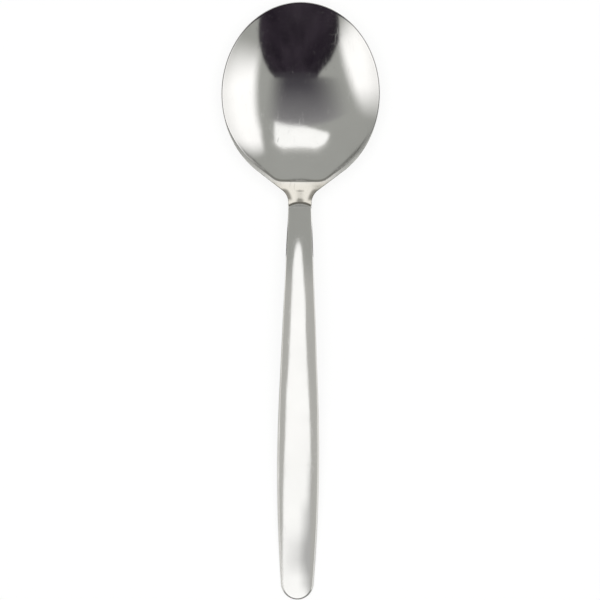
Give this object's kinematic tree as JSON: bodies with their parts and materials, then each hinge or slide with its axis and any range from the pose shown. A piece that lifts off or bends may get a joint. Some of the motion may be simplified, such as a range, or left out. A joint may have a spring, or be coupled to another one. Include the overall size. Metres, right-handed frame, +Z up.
{
  "type": "soup spoon",
  "caption": "Polished steel soup spoon with a nearly round, deep bowl on a slim neck and an arched, crowned handle that widens towards its rounded end.",
  "frame": {"origin": "middle of the spoon's length and width, on the table that it lies on", "axes": "+Y along the spoon towards the bowl's tip, +Z up out of the bowl, +X across"},
  "size_m": [0.0462, 0.175, 0.0134],
  "materials": {
    "bowl_steel": "polished",
    "handle_steel": "polished"
  },
  "bodies": {
    "root": {"bowl": "bowl_steel", "handle": "handle_steel"}
  },
  "joints": []
}
